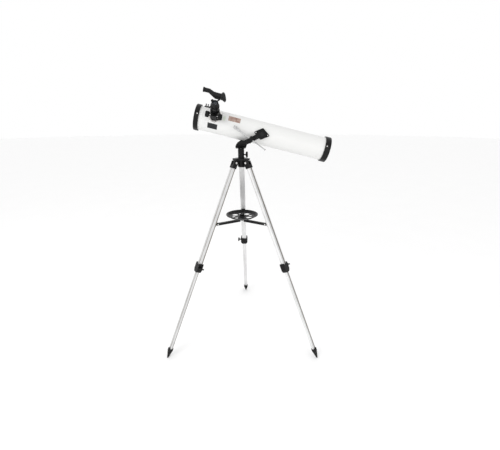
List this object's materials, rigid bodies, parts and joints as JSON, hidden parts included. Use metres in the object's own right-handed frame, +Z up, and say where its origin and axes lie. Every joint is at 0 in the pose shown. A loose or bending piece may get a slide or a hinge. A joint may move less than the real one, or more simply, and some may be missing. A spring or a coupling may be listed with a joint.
{
  "type": "newtonian reflector telescope",
  "caption": "Small Newtonian reflector on a forward-leaning alt-azimuth yoke, with a slow-motion altitude rod and a sliding-leg aluminium tripod with a tray.",
  "frame": {"origin": "the point on the floor under the azimuth axis", "axes": "+Z up along the azimuth axis; the tube's open end points towards -X and up; the focuser is on the -Y side"},
  "size_m": [0.8714, 0.73, 1.3924],
  "materials": {
    "tube_white": "gloss",
    "ring_black": "gloss",
    "screw_steel": "satin",
    "mirror_coating": "polished",
    "cell_aluminium": "satin",
    "spider_black": "matte",
    "mount_black": "satin",
    "bolt_black": "satin",
    "nylon": "matte",
    "label_black": "gloss",
    "label_brown": "satin",
    "label_grey": "satin",
    "flange_grey": "satin",
    "focuser_black": "gloss",
    "drawtube_black": "satin",
    "knob_black": "matte",
    "barrel_chrome": "polished",
    "eyepiece_black": "satin",
    "lens_glass": "polished",
    "finder_black": "satin",
    "soft_rubber": "matte",
    "rod_steel": "satin",
    "knob_silver": "satin",
    "hub_black": "satin",
    "leg_aluminium": "satin anodised",
    "leg_aluminium_inner": "satin anodised",
    "clamp_black": "satin",
    "foot_rubber": "matte",
    "strut_black": "satin",
    "tray_black": "satin"
  },
  "bodies": {
    "tripod": {"tripod_hub": "hub_black", "hinge_bolts": "screw_steel", "leg_caps": "hub_black", "upper_leg_1": "leg_aluminium", "upper_leg_2": "leg_aluminium", "upper_leg_3": "leg_aluminium", "leg_clamp_1": "clamp_black", "leg_clamp_2": "clamp_black", "leg_clamp_3": "clamp_black", "struts": "strut_black", "strut_pins": "screw_steel"},
    "lower_leg_1": {"lower_leg_1": "leg_aluminium_inner", "foot_1": "foot_rubber"},
    "lower_leg_2": {"lower_leg_2": "leg_aluminium_inner", "foot_2": "foot_rubber"},
    "lower_leg_3": {"lower_leg_3": "leg_aluminium_inner", "foot_3": "foot_rubber"},
    "clamp_screw_1": {"clamp_screw_1": "knob_black"},
    "clamp_screw_2": {"clamp_screw_2": "knob_black"},
    "clamp_screw_3": {"clamp_screw_3": "knob_black"},
    "azimuth_knob": {"azimuth_knob": "knob_black"},
    "yoke": {"yoke": "mount_black", "azimuth_shaft": "screw_steel", "thrust_washer": "knob_black"},
    "tube": {"main_tube": "tube_white", "front_ring": "ring_black", "rear_cell": "ring_black", "tube_screws": "screw_steel", "primary_mirror": "mirror_coating", "mirror_plate": "cell_aluminium", "collimation_springs": "screw_steel", "collimation_screws": "screw_steel", "spider": "spider_black", "secondary_holder": "spider_black", "secondary_mirror": "mirror_coating", "side_plates": "mount_black", "pivot_bolts": "bolt_black", "pivot_washers": "nylon", "info_label": "label_black", "colour_label": "label_brown", "small_label": "label_grey", "focuser_flange": "flange_grey", "focuser_housing": "focuser_black", "finder_bracket": "finder_black", "finder_body": "finder_black", "finder_lenses": "lens_glass", "finder_eyecup": "soft_rubber", "rod_stud": "rod_steel"},
    "drawtube": {"drawtube": "drawtube_black"},
    "focus_knobs": {"pinion_shaft": "screw_steel", "focus_knobs": "knob_black"},
    "eyepiece": {"eyepiece_barrel": "barrel_chrome", "eyepiece_body": "eyepiece_black", "eyepiece_lenses": "lens_glass"},
    "eyepiece_screw": {"eyepiece_screw": "knob_black"},
    "altitude_rod": {"altitude_rod": "rod_steel"},
    "fine_tune_knob": {"fine_tune_knob": "knob_silver"},
    "rod_swivel": {"rod_swivel": "mount_black"},
    "tray": {"accessory_tray": "tray_black"},
    "tray_screw": {"tray_screw": "knob_black"}
  },
  "joints": [
    {"name": "azimuth_turn", "type": "hinge", "parent": "tripod", "child": "yoke", "pos_m": [0, 0, 1.1075], "axis": [0, 0, 1], "continuous": true},
    {"name": "altitude_tilt", "type": "hinge", "parent": "yoke", "child": "tube", "pos_m": [0.1036, 0, 1.1805], "axis": [0, 1, 0], "range_deg": [-10, 45]},
    {"name": "rod_turn", "type": "hinge", "parent": "tube", "child": "altitude_rod", "pos_m": [-0.02279, -0.082, 1.21094], "axis": [0, 1, 0], "range_deg": [-1, 3]},
    {"name": "swivel_turn", "type": "hinge", "parent": "yoke", "child": "rod_swivel", "pos_m": [0.05181, -0.082, 1.15726], "axis": [0, 1, 0], "range_deg": [-12, 48]},
    {"name": "fine_tune_spin", "type": "hinge", "parent": "altitude_rod", "child": "fine_tune_knob", "pos_m": [-0.00737, -0.082, 1.19984], "axis": [0.8117, 0, -0.5841], "continuous": true},
    {"name": "focus_slide", "type": "slide", "parent": "tube", "child": "drawtube", "axis": [0.1275, -0.8387, 0.5295], "range_m": [-0.018, 0.03]},
    {"name": "focus_spin", "type": "hinge", "parent": "tube", "child": "focus_knobs", "pos_m": [-0.11976, -0.0891, 1.26314], "axis": [0.9722, 0, -0.2341], "range_deg": [-208, 347]},
    {"name": "eyepiece_pull", "type": "slide", "parent": "drawtube", "child": "eyepiece", "axis": [0.1275, -0.8387, 0.5295], "range_m": [0, 0.03]},
    {"name": "eyepiece_screw_spin", "type": "hinge", "parent": "drawtube", "child": "eyepiece_screw", "pos_m": [-0.11845, -0.09507, 1.31757], "axis": [-0.3968, 0.4461, 0.8022], "continuous": true},
    {"name": "azimuth_knob_spin", "type": "hinge", "parent": "tripod", "child": "azimuth_knob", "pos_m": [0.02, 0, 1.0775], "axis": [1, 0, 0], "continuous": true},
    {"name": "leg_slide_1", "type": "slide", "parent": "tripod", "child": "lower_leg_1", "axis": [-0.3395, -0.196, -0.92], "range_m": [-0.33, 0]},
    {"name": "leg_slide_2", "type": "slide", "parent": "tripod", "child": "lower_leg_2", "axis": [0.3395, -0.196, -0.92], "range_m": [-0.33, 0]},
    {"name": "leg_slide_3", "type": "slide", "parent": "tripod", "child": "lower_leg_3", "axis": [0, 0.392, -0.92], "range_m": [-0.33, 0]},
    {"name": "clamp_screw_spin_1", "type": "hinge", "parent": "tripod", "child": "clamp_screw_1", "pos_m": [-0.21857, -0.14929, 0.50709], "axis": [0.5, -0.866, 0], "continuous": true},
    {"name": "clamp_screw_spin_2", "type": "hinge", "parent": "tripod", "child": "clamp_screw_2", "pos_m": [0.23857, -0.11465, 0.50709], "axis": [0.5, 0.866, 0], "continuous": true},
    {"name": "clamp_screw_spin_3", "type": "hinge", "parent": "tripod", "child": "clamp_screw_3", "pos_m": [-0.02, 0.26393, 0.50709], "axis": [-1, 0, 0], "continuous": true},
    {"name": "tray_lift", "type": "slide", "parent": "tripod", "child": "tray", "axis": [0, 0, 1], "range_m": [0, 0.1]},
    {"name": "tray_screw_spin", "type": "hinge", "parent": "tray", "child": "tray_screw", "pos_m": [0, 0, 0.75], "axis": [0, 0, 1], "continuous": true}
  ],
  "couplings": [
    {"joint": "rod_turn", "follows": "altitude_tilt", "ratio": 0.05},
    {"joint": "swivel_turn", "follows": "altitude_tilt", "ratio": 1.05},
    {"joint": "focus_spin", "follows": "focus_slide", "rad_per_m": 201.38}
  ]
}
